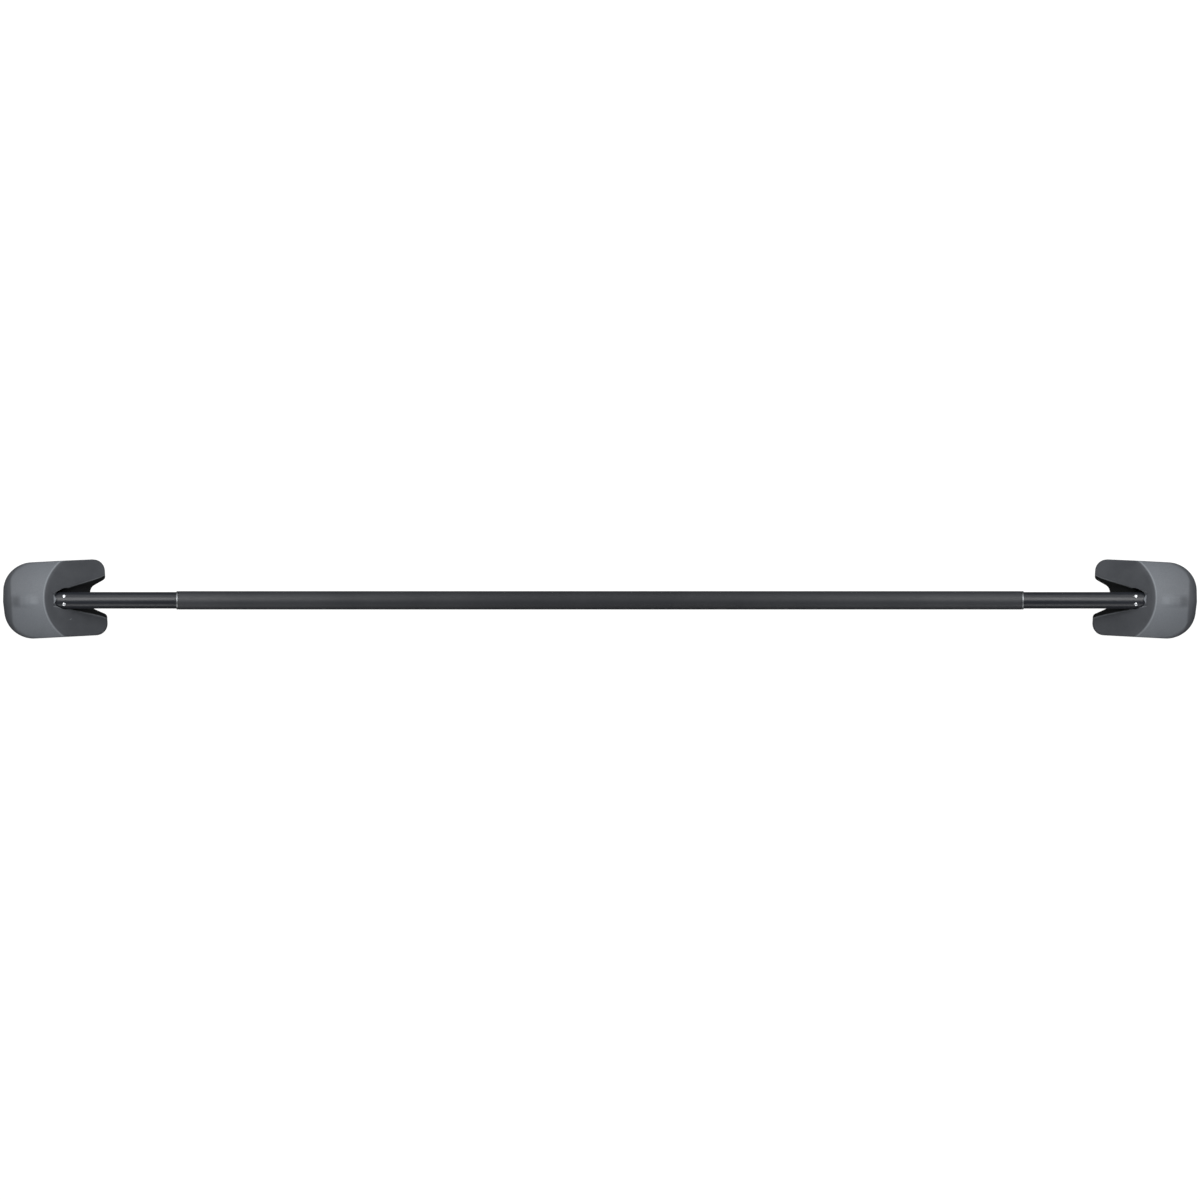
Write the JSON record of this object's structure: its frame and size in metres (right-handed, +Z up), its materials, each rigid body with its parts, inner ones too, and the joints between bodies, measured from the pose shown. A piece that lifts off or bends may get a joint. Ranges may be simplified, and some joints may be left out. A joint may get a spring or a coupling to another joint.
{
  "type": "pull up bar",
  "caption": "Telescoping pull-up bar: a matte grip tube with a thinner sliding tube at each end, carried by moulded saddles that swivel and drop over support beams.",
  "frame": {"origin": "under the middle of the bar, on the plane that the saddle rims stand on", "axes": "+X along the bar to its right end, +Y across it, +Z up out of the saddles"},
  "size_m": [1.8288, 0.1218, 0.0859],
  "materials": {
    "grip_black": "matte textured black coat with a fine grain",
    "gloss_black": "glossy black enamel with a slight blue tint",
    "cover_grey": "satin moulded slate grey with a fine grain",
    "bright_steel": "polished bright metal",
    "zinc_steel": "zinc plated pressed steel",
    "liner_rubber": "matte black ribbed rubber",
    "nylon": "natural white nylon",
    "knob_black": "black moulded knob"
  },
  "bodies": {
    "grip": {"grip_tube": "grip_black", "left_trim_ring": "bright_steel", "left_lock_boss": "zinc_steel", "right_trim_ring": "bright_steel", "right_lock_boss": "zinc_steel"},
    "left_arm": {"left_extension_tube": "gloss_black", "left_end_insert": "zinc_steel", "left_insert_screw_1": "bright_steel", "left_insert_screw_2": "bright_steel", "left_guide_plug": "nylon"},
    "left_saddle": {"left_saddle_cover": "cover_grey", "left_saddle_bracket": "zinc_steel", "left_rail_pad": "liner_rubber", "left_pivot_bolt": "zinc_steel", "left_pivot_nut": "zinc_steel", "left_nut_washer": "zinc_steel", "left_thrust_washer": "nylon", "left_cover_screw_1": "zinc_steel", "left_cover_screw_2": "zinc_steel", "left_cover_screw_3": "zinc_steel", "left_cover_screw_4": "zinc_steel"},
    "left_lock": {"left_lock_screw": "knob_black"},
    "right_arm": {"right_extension_tube": "gloss_black", "right_end_insert": "zinc_steel", "right_insert_screw_1": "bright_steel", "right_insert_screw_2": "bright_steel", "right_guide_plug": "nylon"},
    "right_saddle": {"right_saddle_cover": "cover_grey", "right_saddle_bracket": "zinc_steel", "right_rail_pad": "liner_rubber", "right_pivot_bolt": "zinc_steel", "right_pivot_nut": "zinc_steel", "right_nut_washer": "zinc_steel", "right_thrust_washer": "nylon", "right_cover_screw_1": "zinc_steel", "right_cover_screw_2": "zinc_steel", "right_cover_screw_3": "zinc_steel", "right_cover_screw_4": "zinc_steel"},
    "right_lock": {"right_lock_screw": "knob_black"}
  },
  "joints": [
    {"name": "left_extend", "type": "slide", "parent": "grip", "child": "left_arm", "axis": [-1, 0, 0], "range_m": [-0.1, 0.12]},
    {"name": "left_swivel", "type": "hinge", "parent": "left_arm", "child": "left_saddle", "pos_m": [-0.8665, 0, 0.057], "axis": [0, 0, 1], "range_deg": [-6.5, 0.5]},
    {"name": "left_lock_turn_out", "type": "slide", "parent": "grip", "child": "left_lock", "axis": [0, 0, -1], "range_m": [0, 0.0035]},
    {"name": "right_extend", "type": "slide", "parent": "grip", "child": "right_arm", "axis": [1, 0, 0], "range_m": [-0.1, 0.12]},
    {"name": "right_swivel", "type": "hinge", "parent": "right_arm", "child": "right_saddle", "pos_m": [0.8665, 0, 0.057], "axis": [0, 0, -1], "range_deg": [-6.5, 0.5]},
    {"name": "right_lock_turn_out", "type": "slide", "parent": "grip", "child": "right_lock", "axis": [0, 0, -1], "range_m": [0, 0.0035]}
  ]
}
